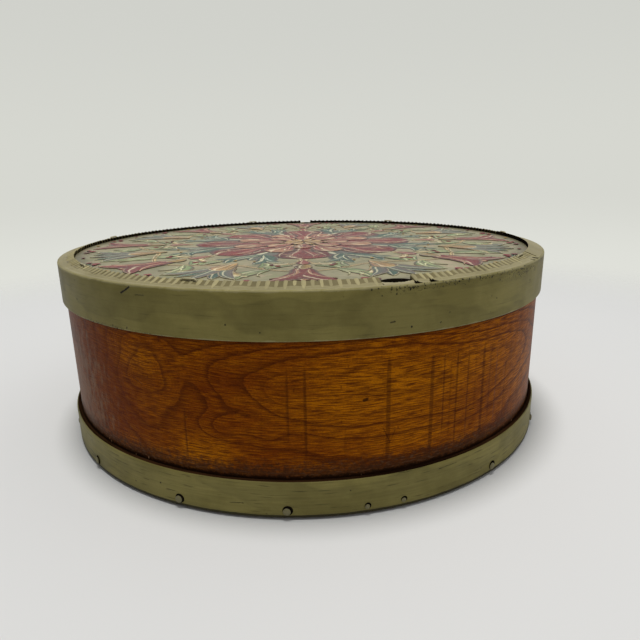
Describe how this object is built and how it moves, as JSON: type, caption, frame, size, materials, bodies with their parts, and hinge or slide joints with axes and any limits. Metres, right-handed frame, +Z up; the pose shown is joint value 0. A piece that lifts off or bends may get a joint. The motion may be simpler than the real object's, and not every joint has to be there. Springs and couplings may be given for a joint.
{
  "type": "round wooden cheese box",
  "caption": "Low round bentwood box with a nailed foot hoop and a lift-off lid: a painted panel in a kerf-bent rim and a thin band.",
  "frame": {"origin": "on the floor under the middle of the box", "axes": "+Z up, -Y the side towards the viewer, +X to the viewer's right"},
  "size_m": [0.3979, 0.3983, 0.1425],
  "materials": {
    "varnished_wood": "old glossy varnish, golden brown, worn",
    "bare_wood": "bare, dry",
    "olive_paint": "olive green paint on wood, satin, chipped",
    "painted_panel": "grey-green paint with a painted floral pattern, satin",
    "dark_iron": "dark, partly painted over",
    "dull_steel": "dull, tarnished"
  },
  "bodies": {
    "box": {"wall": "varnished_wood", "bottom_board": "bare_wood", "bottom_hoop": "olive_paint", "hoop_nail_01": "dark_iron", "hoop_nail_02": "dark_iron", "hoop_nail_03": "dark_iron", "hoop_nail_04": "dark_iron", "hoop_nail_05": "dark_iron", "hoop_nail_06": "dark_iron", "hoop_nail_07": "dark_iron", "hoop_nail_08": "dark_iron", "hoop_nail_09": "dark_iron", "hoop_nail_10": "dark_iron", "hoop_nail_11": "dark_iron", "hoop_nail_12": "dark_iron", "hoop_nail_13": "dark_iron", "hoop_nail_14": "dark_iron", "hoop_nail_15": "dark_iron", "hoop_nail_16": "dark_iron", "hoop_nail_17": "dark_iron", "hoop_lap_tack_1": "dark_iron", "hoop_lap_tack_2": "dark_iron", "wall_lap_tack_1": "dark_iron", "wall_lap_tack_2": "dark_iron", "wall_lap_tack_3": "dark_iron", "wall_lap_tack_4": "dark_iron"},
    "lid": {"lid_band": "olive_paint", "kerfed_rim": "olive_paint", "lid_panel": "painted_panel", "rim_staple_1": "dull_steel", "rim_staple_2": "dull_steel", "rim_staple_3": "dull_steel", "rim_staple_4": "dull_steel", "rim_staple_5": "dull_steel", "rim_staple_6": "dull_steel", "rim_staple_7": "dull_steel", "band_lap_tack_1": "dark_iron", "band_lap_tack_2": "dark_iron"}
  },
  "joints": [
    {"name": "lid_lift", "type": "slide", "parent": "box", "child": "lid", "axis": [0, 0, 1], "range_m": [0, 0.12]}
  ]
}
